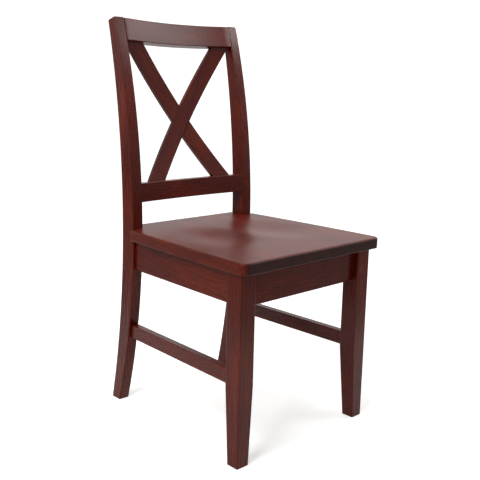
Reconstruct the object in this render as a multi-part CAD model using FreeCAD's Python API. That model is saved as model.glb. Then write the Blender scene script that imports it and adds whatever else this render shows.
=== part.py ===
# Cross back dining chair in solid wood.
#
# Two curved posts carry a bowed crest rail, a lower back rail and two half-lapped cross slats.
# Below the seat, aprons tenoned into the posts and front legs make the seat frame. A block glued
# in each corner takes the screw that holds the seat, and a stretcher joins the legs on each side.
#
# Millimetres, +Z up, +Y backwards. Left (-X) and right (+X) are as seen from in front of the chair.
# The finished chair stands on Z = 0 with the middle of its bounding box over the origin.
# While it is built, Y = 0 is the front face of the posts at their foremost height.

import FreeCAD
import Part
import math
import os
from FreeCAD import Placement, Rotation, Vector

# Heights above the floor
back_height = 960.0
seat_height = 457.0
lower_rail_top_height = 567.0
side_apron_bottom_height = 356.0
front_apron_bottom_height = 352.0
rear_apron_bottom_height = 356.0
stretcher_top_height = 211.0
stretcher_bottom_height = 177.0

# Seat panel
seat_thickness = 26.0
seat_front_width = 450.0
seat_depth = 421.0
seat_overhang_at_legs = 13.5
seat_overhang_at_posts = 9.5
seat_side_bow = 3.0
seat_corner_radius = 20.0
seat_rear_overhang = 2.0
seat_top_rounding = 5.0
seat_bottom_chamfer = 2.0
seat_notch_gap = 0.3
seat_edge_tolerance = 0.1

# Hollows in the seat, one under each thigh
hollow_depth = 6.0
hollow_spacing = 172.0
hollow_width = 215.0
hollow_length = 300.0
hollow_distance_from_front = 235.0

# Back posts
back_width = 393.0
post_width = 29.0
post_depth = 45.0
post_front_radius = 1680.0
post_back_radius = 2150.0
post_front_bend_height = 457.0
post_back_bend_height = 466.0
post_front_rounding = 3.0
post_back_chamfer = 2.0
post_top_rounding = 5.0

# Front legs
leg_width = 42.0
leg_depth = 44.0
leg_foot_width = 33.0
leg_foot_depth = 33.0
leg_front_setback = 22.0
leg_edge_chamfer = 2.0
foot_chamfer = 1.5

# Crest rail, measured square to its own leaning face
crest_height = 55.0
crest_thickness = 24.0
crest_bow = 12.5
crest_setback = 0.0
crest_below_post_tops = 2.0

# Lower back rail
lower_rail_height = 46.0
lower_rail_thickness = 26.0
lower_rail_bow = 9.0
lower_rail_setback = 2.0

# Both back rails
rail_flat_end = 10.0
crest_top_rounding = 3.0
rail_edge_chamfer = 1.5

# Cross slats
slat_width = 44.0
slat_thickness = 11.0
slat_bow = 18.0
slat_foot_half_spacing = 105.0
slat_head_half_spacing = 140.0
slat_foot_setback = 20.5
slat_head_setback = 13.5
slat_edge_chamfer = 1.2
slat_tenon_width = 26.0
slat_tenon_thickness = 7.0
slat_tenon_length = 9.0

# Aprons and stretchers
apron_thickness = 20.0
front_apron_setback = 14.0
side_setback_at_leg = 10.0
side_setback_at_post = 7.0
rear_apron_setback = 9.0
stretcher_thickness = 18.5
frame_edge_chamfer = 1.2

# Tenons
tenon_thickness = 9.0
tenon_shoulder = 9.0
stretcher_tenon_shoulder = 6.0
crest_tenon_shoulder = 11.0
lower_rail_tenon_shoulder = 9.0
back_rail_tenon_length = 19.0
front_tenon_length = 20.0
side_tenon_length_in_leg = 13.0
side_tenon_length_in_post = 17.0
rear_tenon_length = 16.0
tenon_side_clearance = 0.15
tenon_end_clearance = 0.5
shoulder_trim = 1.0

# Corner blocks, and the countersunk screw that goes up through each into the seat
block_reach = 74.0
block_height = 30.0
block_leg_gap = 1.0
screw_position = 0.34
screw_diameter = 5.0
screw_head_diameter = 10.0
screw_depth_in_seat = 14.0
screw_clearance = 0.15

# Clearances of the slats in their mortises and at their crossing
slat_tenon_clearance = 0.15
lap_clearance = 0.1

# Places worked out from the sizes above
seat_underside = seat_height - seat_thickness
post_outer = back_width / 2
post_inner = post_outer - post_width
leg_outer = seat_front_width / 2 - seat_overhang_at_legs
leg_inner = leg_outer - leg_width
seat_front = -seat_depth
leg_front = seat_front + leg_front_setback
leg_back = leg_front + leg_depth
seat_rear = post_depth + seat_rear_overhang
front_apron_front = leg_front + front_apron_setback
front_apron_back = front_apron_front + apron_thickness
rear_apron_back = post_depth - rear_apron_setback
rear_apron_front = rear_apron_back - apron_thickness
crest_top_height = back_height - crest_below_post_tops
cutter_size = 3 * back_height


# Curves of the posts

def arc_offset(height, bend_height, radius):
    """Return how far a post's arc stands behind its foremost point at a height."""
    rise = height - bend_height
    return radius - math.sqrt(radius ** 2 - rise ** 2)


def post_front_y(height):
    """Return Y of the posts' front face at a height."""
    return arc_offset(height, post_front_bend_height, post_front_radius)


def post_back_y(height):
    """Return Y of the posts' back face at a height."""
    return post_depth + arc_offset(height, post_back_bend_height, post_back_radius)


def post_lean(height):
    """Return the lean of the posts' front face from the vertical at a height, in degrees."""
    return math.degrees(math.asin((height - post_front_bend_height) / post_front_radius))


# General shapes

def prism(points, direction):
    """Return the solid swept by a polygon along a vector."""
    outline = Part.makePolygon(points + [points[0]])
    return Part.Face(outline).extrude(direction)


def box_between(low, high):
    """Return a box from its lowest and highest corner."""
    size = high - low
    return Part.makeBox(size.x, size.y, size.z, low)


def faceted_solid(sections):
    """Return the solid with flat faces that joins level sections, each a list of corners."""
    rings = [sections[0], sections[-1]]
    for low, high in zip(sections, sections[1:]):
        for i in range(len(low)):
            rings.append([low[i - 1], low[i], high[i], high[i - 1]])
    faces = [Part.Face(Part.makePolygon(ring + [ring[0]])) for ring in rings]
    return Part.makeSolid(Part.makeShell(faces))


def placed(shape, placement):
    """Return a copy of a shape moved from its own frame to the chair's."""
    moved = shape.copy()
    moved.Placement = placement.multiply(moved.Placement)
    return moved


def mirrored(shape):
    """Return the mirror image of a shape across the chair's middle plane."""
    return shape.mirror(Vector(0, 0, 0), Vector(1, 0, 0))


def round_edges(shape, radius, chosen):
    """Return the shape with a fillet on each edge that the test picks."""
    return shape.makeFillet(radius, [edge for edge in shape.Edges if chosen(edge)])


def chamfer_edges(shape, size, chosen):
    """Return the shape with a chamfer on each edge that the test picks."""
    return shape.makeChamfer(size, [edge for edge in shape.Edges if chosen(edge)])


def lies_between(edge, axis, low, high):
    """Tell whether an edge's bounding box lies between two places on an axis, X, Y or Z."""
    box = edge.BoundBox
    edge_low = getattr(box, axis + "Min")
    edge_high = getattr(box, axis + "Max")
    tolerance = 0.01
    return edge_low > low - tolerance and edge_high < high + tolerance


def with_chamfered_foot(shape):
    """Return a leg or post with the edges of its foot chamfered."""
    sole = min(shape.Faces, key=lambda face: face.CenterOfMass.z).BoundBox
    top = shape.BoundBox.ZMax + foot_chamfer
    spread = top - foot_chamfer
    size = cutter_size
    across = [
        Vector(sole.XMin + foot_chamfer, -size / 2, 0),
        Vector(sole.XMax - foot_chamfer, -size / 2, 0),
        Vector(sole.XMax + spread, -size / 2, top),
        Vector(sole.XMin - spread, -size / 2, top),
    ]
    along = [
        Vector(-size / 2, sole.YMin + foot_chamfer, 0),
        Vector(-size / 2, sole.YMax - foot_chamfer, 0),
        Vector(-size / 2, sole.YMax + spread, top),
        Vector(-size / 2, sole.YMin - spread, top),
    ]
    hopper = prism(across, Vector(0, size, 0)).common(prism(along, Vector(size, 0, 0)))
    return shape.common(hopper)


# Back posts and front legs

def crest_placement():
    """Return the frame of the crest rail: Z up its leaning face, Y square to it, backwards."""
    lean = post_lean(crest_top_height - crest_height / 2)
    middle_height = crest_top_height - crest_height / 2 * math.cos(math.radians(lean))
    middle = Vector(0, post_front_y(middle_height), middle_height)
    return Placement(middle, Rotation(Vector(1, 0, 0), -lean))


def lower_rail_placement():
    """Return the frame of the lower back rail, leaning with the posts at its middle."""
    middle_height = lower_rail_top_height - lower_rail_height / 2
    lean = post_lean(middle_height)
    middle = Vector(0, post_front_y(middle_height), middle_height)
    return Placement(middle, Rotation(Vector(1, 0, 0), -lean))


def post_blank():
    """Return the left post with square edges and no joints."""
    spare_height = back_height + crest_height
    middle_height = back_height / 2
    heights = (0.0, middle_height, spare_height)
    front = [Vector(-post_outer, post_front_y(height), height) for height in heights]
    back = [Vector(-post_outer, post_back_y(height), height) for height in heights]
    outline = Part.Wire([
        Part.Arc(*front).toShape(),
        Part.makeLine(front[-1], back[-1]),
        Part.Arc(*reversed(back)).toShape(),
        Part.makeLine(back[0], front[0]),
    ])
    blank = Part.Face(outline).extrude(Vector(post_width, 0, 0))
    above = Part.makeBox(cutter_size, cutter_size, cutter_size,
                         Vector(-cutter_size / 2, -cutter_size / 2, crest_height / 2 + crest_below_post_tops))
    return blank.cut(placed(above, crest_placement()))


def runs_up(edge, radius):
    """Tell whether an edge runs up the post on an arc of a radius."""
    is_long = edge.Length > back_height / 2
    return is_long and abs(edge.Curve.Radius - radius) < post_depth / 2


def eased_post(blank):
    """Return the post with its front edges and top corner rounded, its back edges and foot chamfered."""
    top_zone = back_height - post_depth
    post = round_edges(blank, post_front_rounding, lambda edge: runs_up(edge, post_front_radius))
    post = chamfer_edges(post, post_back_chamfer, lambda edge: runs_up(edge, post_back_radius))
    post = round_edges(post, post_top_rounding,
                       lambda edge: lies_between(edge, "X", -post_outer, -post_outer)
                       and lies_between(edge, "Z", top_zone, back_height))
    return with_chamfered_foot(post)


def leg_section(width, depth, inset, height):
    """Return the corners of a level section of the left leg, its four corners cut off."""
    cut = leg_edge_chamfer
    low_x = -leg_outer + inset
    low_y = leg_front + inset
    high_x = -leg_outer + width - inset
    high_y = leg_front + depth - inset
    plan = [
        (low_x + cut, low_y), (high_x - cut, low_y), (high_x, low_y + cut), (high_x, high_y - cut),
        (high_x - cut, high_y), (low_x + cut, high_y), (low_x, high_y - cut), (low_x, low_y + cut),
    ]
    return [Vector(x, y, height) for x, y in plan]


def leg_solid():
    """Return the left front leg without its mortises, its inner faces tapered below the stretchers."""
    sections = [
        leg_section(leg_foot_width, leg_foot_depth, foot_chamfer, 0),
        leg_section(leg_foot_width, leg_foot_depth, 0, foot_chamfer),
        leg_section(leg_width, leg_depth, 0, stretcher_bottom_height),
        leg_section(leg_width, leg_depth, 0, seat_underside),
    ]
    return faceted_solid(sections)


# Back rails and slats

def bowed_rail(height, thickness, bow, setback):
    """Return a rail bowed backwards between short flat ends, centred on its own frame."""
    half = post_inner
    curve_half = half - rail_flat_end

    def edge_at(y):
        left = Part.makeLine(Vector(-half, y, 0), Vector(-curve_half, y, 0))
        curve = Part.Arc(Vector(-curve_half, y, 0), Vector(0, y + bow, 0), Vector(curve_half, y, 0))
        right = Part.makeLine(Vector(curve_half, y, 0), Vector(half, y, 0))
        return [left, curve.toShape(), right]

    front = setback
    back = setback + thickness
    sides = [
        Part.makeLine(Vector(-half, front, 0), Vector(-half, back, 0)),
        Part.makeLine(Vector(half, front, 0), Vector(half, back, 0)),
    ]
    outline = Part.Wire(Part.__sortEdges__(edge_at(front) + edge_at(back) + sides))
    rail = Part.Face(outline).extrude(Vector(0, 0, height))
    rail.translate(Vector(0, 0, -height / 2))
    return rail


def runs_along(edge, height):
    """Tell whether a rail's edge runs along it at a height in the rail's frame."""
    return lies_between(edge, "Z", height, height) and edge.BoundBox.XLength > rail_flat_end / 2


def crest_rail_blank():
    """Return the crest rail in its own frame, its top edges rounded and its lower ones chamfered."""
    rail = bowed_rail(crest_height, crest_thickness, crest_bow, crest_setback)
    half = crest_height / 2
    rail = round_edges(rail, crest_top_rounding, lambda edge: runs_along(edge, half))
    return chamfer_edges(rail, rail_edge_chamfer, lambda edge: runs_along(edge, -half))


def lower_rail_blank():
    """Return the lower back rail in its own frame, its long edges chamfered."""
    rail = bowed_rail(lower_rail_height, lower_rail_thickness, lower_rail_bow, lower_rail_setback)
    half = lower_rail_height / 2
    return chamfer_edges(rail, rail_edge_chamfer,
                         lambda edge: runs_along(edge, half) or runs_along(edge, -half))


def rail_tenons(height, thickness, setback, shoulder, placement, grow, end_gap):
    """Return the tenons at both ends of a back rail, or their mortises when grown."""
    middle = setback + thickness / 2
    low = Vector(-post_inner - back_rail_tenon_length - end_gap, middle - tenon_thickness / 2 - grow,
                 shoulder - height / 2 - grow)
    high = Vector(-post_inner + rail_flat_end / 2, middle + tenon_thickness / 2 + grow,
                  height / 2 - shoulder + grow)
    tenon = placed(box_between(low, high), placement)
    return [tenon, mirrored(tenon)]


class Slat:
    """The rising slat's frame: U along it, V across it, W square to its face, backwards."""

    def __init__(self):
        """Set the frame from the places where the slat's front meets the two back rails."""
        crest = crest_placement()
        head_height = crest.multVec(Vector(0, 0, -crest_height / 2)).z
        foot_height = lower_rail_top_height
        foot = Vector(-slat_foot_half_spacing, post_front_y(foot_height) + slat_foot_setback, foot_height)
        head = Vector(slat_head_half_spacing, post_front_y(head_height) + slat_head_setback, head_height)
        across_back = Vector(0, head.y - foot.y, head.z - foot.z)
        self.foot = foot
        self.length = (head - foot).Length
        self.u = (head - foot).normalize()
        self.w = Vector(0, across_back.z, -across_back.y).normalize()
        self.v = self.w.cross(self.u)
        both_spacings = slat_foot_half_spacing + slat_head_half_spacing
        self.crossing_u = self.length * slat_foot_half_spacing / both_spacings

    def point(self, u, v, w):
        """Return a point of the chair from the slat's own three distances."""
        return self.foot + self.u * u + self.v * v + self.w * w

    def bow_at(self, u):
        """Return how far the slat's face stands behind its chord."""
        half = self.length / 2
        radius = (half ** 2 + slat_bow ** 2) / (2 * slat_bow)
        return math.sqrt(radius ** 2 - (u - half) ** 2) - (radius - slat_bow)

    def board(self, width, thickness):
        """Return a curved board along the slat's middle surface, running on past both rails' faces."""
        spare = crest_height / 2
        low_w = (slat_thickness - thickness) / 2
        high_w = low_w + thickness
        stations = (-spare, self.length / 2, self.length + spare)
        front = [self.point(u, -width / 2, self.bow_at(u) + low_w) for u in stations]
        back = [self.point(u, -width / 2, self.bow_at(u) + high_w) for u in stations]
        outline = Part.Wire([
            Part.Arc(*front).toShape(),
            Part.makeLine(front[-1], back[-1]),
            Part.Arc(*reversed(back)).toShape(),
            Part.makeLine(back[0], front[0]),
        ])
        return Part.Face(outline).extrude(self.v * width)

    def tenons(self, grow):
        """Return the slat's two tenons with a root inside it, or their mortises when grown."""
        board = self.board(slat_tenon_width + 2 * grow, slat_tenon_thickness + 2 * grow)
        root = slat_tenon_thickness / 2
        return board.common(between_rails(slat_tenon_length + grow)).cut(between_rails(-root))

    def half_lap(self, extra_width, forwards):
        """Return the cutter that makes room for this slat in the front or back half of the other."""
        reach = 2 * slat_width
        middle = self.bow_at(self.crossing_u) + slat_thickness / 2
        depth = slat_thickness + slat_bow
        low_w = middle - depth if forwards else middle
        low_u = self.crossing_u - reach
        half_width = slat_width / 2 + extra_width
        base = [
            self.point(low_u, -half_width, low_w),
            self.point(low_u + 2 * reach, -half_width, low_w),
            self.point(low_u + 2 * reach, half_width, low_w),
            self.point(low_u, half_width, low_w),
        ]
        return prism(base, self.w * depth)


def between_rails(depth):
    """Return the space between the two back rails, and on into each rail to a depth."""
    half = cutter_size / 2
    upper = placed(Part.makeBox(cutter_size, cutter_size, cutter_size,
                                Vector(-half, -half, -cutter_size - crest_height / 2 + depth)),
                   crest_placement())
    lower = placed(Part.makeBox(cutter_size, cutter_size, cutter_size,
                                Vector(-half, -half, lower_rail_height / 2 - depth)),
                   lower_rail_placement())
    return upper.common(lower)


def slat_solid(slat, lap_at_front):
    """Return the rising slat with shoulders and tenons, and its half of the lap joint cut out."""
    board = slat.board(slat_width, slat_thickness)
    board = chamfer_edges(board, slat_edge_chamfer, lambda edge: edge.Length > slat.length / 2)
    board = board.common(between_rails(0)).cut(mirrored(slat.half_lap(lap_clearance, lap_at_front)))
    return board.fuse(slat.tenons(0))


# Frame under the seat

def side_frame_x(y, depth_in):
    """Return X on the left side rails at a place along them and a depth in from their outer face."""
    front_x = -leg_outer + side_setback_at_leg
    rear_x = -post_outer + side_setback_at_post
    slope = (rear_x - front_x) / -leg_back
    return front_x + slope * (y - leg_back) + depth_in * math.sqrt(1 + slope ** 2)


def side_piece(low_y, high_y, low_depth, high_depth, low_z, high_z):
    """Return a length of the left side rails, slanting in plan as they do."""
    base = [
        Vector(side_frame_x(low_y, low_depth), low_y, low_z),
        Vector(side_frame_x(high_y, low_depth), high_y, low_z),
        Vector(side_frame_x(high_y, high_depth), high_y, low_z),
        Vector(side_frame_x(low_y, high_depth), low_y, low_z),
    ]
    return prism(base, Vector(0, 0, high_z - low_z))


def side_tenons(thickness, low_z, high_z, shoulder, grow, end_gap):
    """Return the tenons at the front and rear of a left side rail, or their mortises when grown."""
    middle = thickness / 2
    half = tenon_thickness / 2 + grow
    low = low_z + shoulder - grow
    high = high_z - shoulder + grow
    rear_face = post_front_y(low_z + shoulder)
    front_tip = leg_back - side_tenon_length_in_leg - end_gap
    rear_tip = rear_face + side_tenon_length_in_post + end_gap
    front = side_piece(front_tip, leg_back + tenon_thickness, middle - half, middle + half, low, high)
    rear = side_piece(rear_face - tenon_thickness, rear_tip, middle - half, middle + half, low, high)
    return [front, rear]


def side_rail(thickness, low_z, high_z, shoulder, leg, post):
    """Return a left side rail with its shoulders cut to the leg and post, and its tenons."""
    into_post = post_front_y(low_z) + shoulder_trim
    rail = side_piece(leg_back - shoulder_trim, into_post, 0, thickness, low_z, high_z)
    rail = chamfer_edges(rail, frame_edge_chamfer, lambda edge: edge.Length > -leg_back / 2)
    rail = rail.cut(leg).cut(post)
    return rail.fuse(side_tenons(thickness, low_z, high_z, shoulder, 0, 0)).removeSplitter()


def cross_apron(half_length, front_y, bottom, tenon_length):
    """Return an apron that runs across the chair, with a tenon at each end."""
    rail = box_between(Vector(-half_length, front_y, bottom),
                       Vector(half_length, front_y + apron_thickness, seat_underside))
    rail = chamfer_edges(rail, frame_edge_chamfer, lambda edge: edge.Length > half_length)
    return rail.fuse(cross_tenon(half_length, front_y, bottom, tenon_length, 0)).removeSplitter()


def cross_tenon(half_length, front_y, bottom, tenon_length, grow):
    """Return the through bar whose two ends are a cross apron's tenons."""
    middle = front_y + apron_thickness / 2
    reach = half_length + tenon_length + (tenon_end_clearance if grow else 0)
    low = Vector(-reach, middle - tenon_thickness / 2 - grow, bottom + tenon_shoulder - grow)
    high = Vector(reach, middle + tenon_thickness / 2 + grow, seat_underside - tenon_shoulder + grow)
    return box_between(low, high)


# Corner blocks and screws

class Corner:
    """A left corner of the seat frame, where the front or rear apron meets the side apron."""

    def __init__(self, apron_face, inward, upright):
        """Set the corner from the cross apron's inner face, the way inwards and the leg or post there."""
        self.y = apron_face
        self.inward = inward
        self.x = side_frame_x(apron_face, apron_thickness)
        self.upright = upright

    def screw_place(self):
        """Return the place in plan of the screw through the block."""
        along = block_reach * screw_position
        return Vector(self.x + along, self.y + self.inward * along, 0)

    def block(self):
        """Return the block, clear of the upright in its corner, with the hole for its screw."""
        far_y = self.y + self.inward * block_reach
        base = [
            Vector(self.x, self.y, seat_underside),
            Vector(side_frame_x(far_y, apron_thickness), far_y, seat_underside),
            Vector(self.x + block_reach, self.y, seat_underside),
        ]
        block = prism(base, Vector(0, 0, -block_height))
        return block.cut(self.room_for_upright()).cut(self.screw(screw_clearance))

    def room_for_upright(self):
        """Return the box round the upright at the block's height, with a gap all round."""
        zone = self.upright.common(box_between(Vector(-leg_outer, leg_front, seat_underside - block_height),
                                               Vector(0, seat_rear, seat_underside))).BoundBox
        gap = Vector(block_leg_gap, block_leg_gap, block_leg_gap)
        low = Vector(zone.XMin, zone.YMin, zone.ZMin) - gap
        high = Vector(zone.XMax, zone.YMax, zone.ZMax) + gap
        return box_between(low, high)

    def screw(self, grow):
        """Return the countersunk screw, its head flush under the block, or its hole when grown."""
        underside = seat_underside - block_height
        radius = screw_diameter / 2 + grow
        head_radius = screw_head_diameter / 2 + grow
        top = seat_underside + screw_depth_in_seat + grow
        outline = [
            Vector(0, 0, underside),
            Vector(head_radius, 0, underside),
            Vector(radius, 0, underside + head_radius - radius),
            Vector(radius, 0, top),
            Vector(0, 0, top),
        ]
        face = Part.Face(Part.makePolygon(outline + [outline[0]]))
        screw = face.revolve(Vector(0, 0, 0), Vector(0, 0, 1), 360)
        screw.translate(self.screw_place())
        return screw


# Seat

def seat_outline():
    """Return the seat's outline: slightly bowed sides, square ends at the posts, a tongue behind."""
    notch_x = post_inner - seat_notch_gap
    notch_y = -seat_notch_gap
    front_half = seat_front_width / 2
    rear_half = post_outer + seat_overhang_at_posts
    middle_half = (front_half + rear_half) / 2 + seat_side_bow
    middle_y = (seat_front + notch_y) / 2
    left = Part.Arc(Vector(-front_half, seat_front, 0), Vector(-middle_half, middle_y, 0),
                    Vector(-rear_half, notch_y, 0)).toShape()
    right = Part.Arc(Vector(rear_half, notch_y, 0), Vector(middle_half, middle_y, 0),
                     Vector(front_half, seat_front, 0)).toShape()
    rear = [
        Vector(-rear_half, notch_y, 0),
        Vector(-notch_x, notch_y, 0),
        Vector(-notch_x, seat_rear, 0),
        Vector(notch_x, seat_rear, 0),
        Vector(notch_x, notch_y, 0),
        Vector(rear_half, notch_y, 0),
    ]
    rear_edges = [Part.makeLine(start, end) for start, end in zip(rear, rear[1:])]
    front = Part.makeLine(Vector(front_half, seat_front, 0), Vector(-front_half, seat_front, 0))
    return Part.Wire([left] + rear_edges + [right, front])


def hollow_window(x, y):
    """Return how much of the full depth one hollow has at a place measured from its centre."""
    radius = math.hypot(x / (hollow_width / 2), y / (hollow_length / 2))
    return math.cos(math.pi / 2 * min(1.0, radius)) ** 2


def hollow_cutter():
    """Return the body that scoops the two hollows out of the seat's top."""
    rim = 0.05
    steps = 16
    centre_y = seat_front + hollow_distance_from_front
    half_x = (hollow_spacing + hollow_width) / 2
    half_y = hollow_length / 2
    grid = []
    for i in range(steps + 1):
        x = half_x * (2 * i / steps - 1)
        row = []
        for j in range(steps + 1):
            y = half_y * (2 * j / steps - 1)
            share = hollow_window(x - hollow_spacing / 2, y) + hollow_window(x + hollow_spacing / 2, y)
            row.append(Vector(x, centre_y + y, seat_height + rim - hollow_depth * share))
        grid.append(row)
    surface = Part.BSplineSurface()
    surface.interpolate(grid)
    floor = surface.toShape()
    return floor.extrude(Vector(0, 0, 2 * hollow_depth))


def seat_solid():
    """Return the seat panel, its edges rounded and its top hollowed."""
    seat = Part.Face(seat_outline()).extrude(Vector(0, 0, seat_thickness))
    seat.translate(Vector(0, 0, seat_underside))
    seat = round_edges(seat, seat_corner_radius,
                       lambda edge: lies_between(edge, "Y", seat_front, seat_front)
                       and edge.BoundBox.ZLength > seat_thickness / 2)

    def runs_round(edge, height):
        on_level = lies_between(edge, "Z", height, height)
        return on_level and edge.BoundBox.YMin < -seat_notch_gap - seat_edge_tolerance

    seat = round_edges(seat, seat_top_rounding, lambda edge: runs_round(edge, seat_height))
    seat = chamfer_edges(seat, seat_bottom_chamfer, lambda edge: runs_round(edge, seat_underside))
    return seat.cut(hollow_cutter())


# The whole chair

def build_chair():
    """Return every piece of the chair by name, in the frame it is built in."""
    post = eased_post(post_blank())
    leg = leg_solid()

    crest_frame = crest_placement()
    lower_frame = lower_rail_placement()
    crest_joint = (crest_height, crest_thickness, crest_setback, crest_tenon_shoulder, crest_frame)
    lower_joint = (lower_rail_height, lower_rail_thickness, lower_rail_setback, lower_rail_tenon_shoulder,
                   lower_frame)
    crest = placed(crest_rail_blank(), crest_frame).fuse(rail_tenons(*crest_joint, 0, 0)).removeSplitter()
    lower = placed(lower_rail_blank(), lower_frame).fuse(rail_tenons(*lower_joint, 0, 0)).removeSplitter()

    slat = Slat()
    rising_slat = slat_solid(slat, False)
    falling_slat = mirrored(slat_solid(slat, True))
    slat_mortises = slat.tenons(slat_tenon_clearance)
    crest = crest.cut([slat_mortises, mirrored(slat_mortises)])
    lower = lower.cut([slat_mortises, mirrored(slat_mortises)])

    side_apron_joint = (apron_thickness, side_apron_bottom_height, seat_underside, tenon_shoulder)
    stretcher_joint = (stretcher_thickness, stretcher_bottom_height, stretcher_top_height,
                       stretcher_tenon_shoulder)
    side_apron = side_rail(*side_apron_joint, leg, post)
    stretcher = side_rail(*stretcher_joint, leg, post)
    front_apron_joint = (leg_inner, front_apron_front, front_apron_bottom_height, front_tenon_length)
    rear_apron_joint = (post_inner, rear_apron_front, rear_apron_bottom_height, rear_tenon_length)
    front_apron = cross_apron(*front_apron_joint)
    rear_apron = cross_apron(*rear_apron_joint)

    corners = {
        "front": Corner(front_apron_back, 1, leg),
        "rear": Corner(rear_apron_front, -1, post),
    }
    blocks = {name: corner.block() for name, corner in corners.items()}
    screws = [corner.screw(0) for corner in corners.values()]
    screw_holes = [corner.screw(screw_clearance) for corner in corners.values()]
    seat = seat_solid().cut(screw_holes + [mirrored(hole) for hole in screw_holes])

    clearances = (tenon_side_clearance, tenon_end_clearance)
    side_mortises = side_tenons(*side_apron_joint, *clearances) + side_tenons(*stretcher_joint, *clearances)
    front_mortise = cross_tenon(*front_apron_joint, tenon_side_clearance)
    rear_mortise = cross_tenon(*rear_apron_joint, tenon_side_clearance)
    back_mortises = rail_tenons(*crest_joint, *clearances) + rail_tenons(*lower_joint, *clearances)
    leg = leg.cut(side_mortises + [front_mortise])
    post = post.cut(side_mortises + back_mortises + [rear_mortise])

    return {
        "back_post_left": post,
        "back_post_right": mirrored(post),
        "front_leg_left": leg,
        "front_leg_right": mirrored(leg),
        "crest_rail": crest,
        "lower_back_rail": lower,
        "cross_slat_rising": rising_slat,
        "cross_slat_falling": falling_slat,
        "seat_panel": seat,
        "front_apron": front_apron,
        "rear_apron": rear_apron,
        "side_apron_left": side_apron,
        "side_apron_right": mirrored(side_apron),
        "side_stretcher_left": stretcher,
        "side_stretcher_right": mirrored(stretcher),
        "corner_block_front_left": blocks["front"],
        "corner_block_front_right": mirrored(blocks["front"]),
        "corner_block_rear_left": blocks["rear"],
        "corner_block_rear_right": mirrored(blocks["rear"]),
        "seat_screws": Part.makeCompound(screws + [mirrored(screw) for screw in screws]),
    }


def rearmost_y():
    """Return Y of the chair's rearmost line, the rounded top back edge of the crest rail."""
    rounding_centre = Vector(0, crest_setback + crest_bow + crest_thickness - crest_top_rounding,
                             crest_height / 2 - crest_top_rounding)
    return crest_placement().multVec(rounding_centre).y + crest_top_rounding


def main():
    """Build the chair, centre it over the origin and write one file for each piece."""
    os.makedirs("parts", exist_ok=True)
    shift = Vector(0, -(seat_front + rearmost_y()) / 2, 0)
    for name, shape in build_chair().items():
        shape.translate(shift)
        shape.exportStep(os.path.join("parts", name + ".step"))
        print(name, len(shape.Solids), "solid(s)", round(shape.Volume / 1000, 1), "cm3", shape.isValid())


main()
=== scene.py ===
"""Cross back dining chair in solid hardwood, stained red-brown and lacquered.

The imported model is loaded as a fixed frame. The curved posts, the rails and slats between them, the
front legs and the seat are modelled again with softened edges and denser curves. The pieces under
the seat stay as packed, and every wooden piece gets a finish that follows its own grain.

Sizes are in millimetres. While a piece is built, Y = 0 is the front of the back posts at their
foremost height. Left (-X) and right (+X) are as seen from in front of the chair.
"""

import logging
import math
from collections.abc import Callable, Iterable
from dataclasses import dataclass, field
from enum import Enum
from functools import partial
from typing import Any

import bmesh
import bpy
from bmesh.types import BMEdge, BMesh, BMFace, BMVert
from bpy.types import Material, Node, NodeSocket, NodeTree, Object
from mathutils import Matrix, Vector

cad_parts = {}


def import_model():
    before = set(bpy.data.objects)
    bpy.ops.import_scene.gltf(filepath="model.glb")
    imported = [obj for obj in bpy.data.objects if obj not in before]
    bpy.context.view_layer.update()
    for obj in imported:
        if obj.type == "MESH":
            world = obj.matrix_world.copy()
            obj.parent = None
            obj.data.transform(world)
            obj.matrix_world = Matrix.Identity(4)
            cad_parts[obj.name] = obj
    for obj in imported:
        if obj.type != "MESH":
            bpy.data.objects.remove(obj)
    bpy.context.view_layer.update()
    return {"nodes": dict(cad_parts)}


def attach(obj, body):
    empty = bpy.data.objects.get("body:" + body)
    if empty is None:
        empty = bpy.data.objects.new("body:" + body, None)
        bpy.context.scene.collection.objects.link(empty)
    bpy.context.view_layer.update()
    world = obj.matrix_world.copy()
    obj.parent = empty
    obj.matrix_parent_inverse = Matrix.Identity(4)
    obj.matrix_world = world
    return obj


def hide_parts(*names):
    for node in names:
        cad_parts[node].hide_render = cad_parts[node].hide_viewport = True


LOG = logging.getLogger("cross_back_chair")
# The node-adding function, bound to one node tree
Adder = Callable[..., Node]
METRES_PER_MM = 0.001
# Y of the posts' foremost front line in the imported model
POST_LINE_Y = 155.26
# Points this close to a plane, in millimetres, count as lying on it
TOUCH = 0.01
# The same for the operator that cuts, and for corners that are welded
CUT_REACH = 1e-4
WELD_REACH = 0.002
# An edge that goes no further than this along an axis, in millimetres, runs across it
SHORT = 1.0
# Faces that meet at more than this angle meet at a sharp edge
SHARP_ANGLE = math.radians(40.0)
# Distance between two crests of Blender's wave texture at a scale of 1
WAVE_PERIOD = 0.314
UP = Vector((0.0, 0.0, 1.0))
TO_RIGHT = Vector((1.0, 0.0, 0.0))
TO_BACK = Vector((0.0, 1.0, 0.0))


class Side(Enum):
    """The side of the chair that a piece stands on."""

    LEFT = "left"
    RIGHT = "right"


class Run(Enum):
    """The way a cross slat runs, seen from in front of the chair."""

    RISING = "rising"
    FALLING = "falling"


class Grain(Enum):
    """The turn, in degrees, that lays a piece's grain along X of its pattern."""

    ACROSS_CHAIR = (0.0, 0.0, 0.0)
    FRONT_TO_BACK = (0.0, 0.0, -90.0)
    UPRIGHT = (0.0, 90.0, 0.0)
    ACROSS_CORNER = (0.0, 0.0, 45.0)


# Woodworking steps that several pieces share


def sawn_block(low: Vector, high: Vector) -> BMesh:
    """Saw a square block between its lowest and highest corner."""
    bm = bmesh.new()
    bmesh.ops.create_cube(bm, size=1.0)
    bmesh.ops.scale(bm, vec=high - low, verts=bm.verts)
    bmesh.ops.translate(bm, vec=(low + high) / 2, verts=bm.verts)
    return bm


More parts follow.
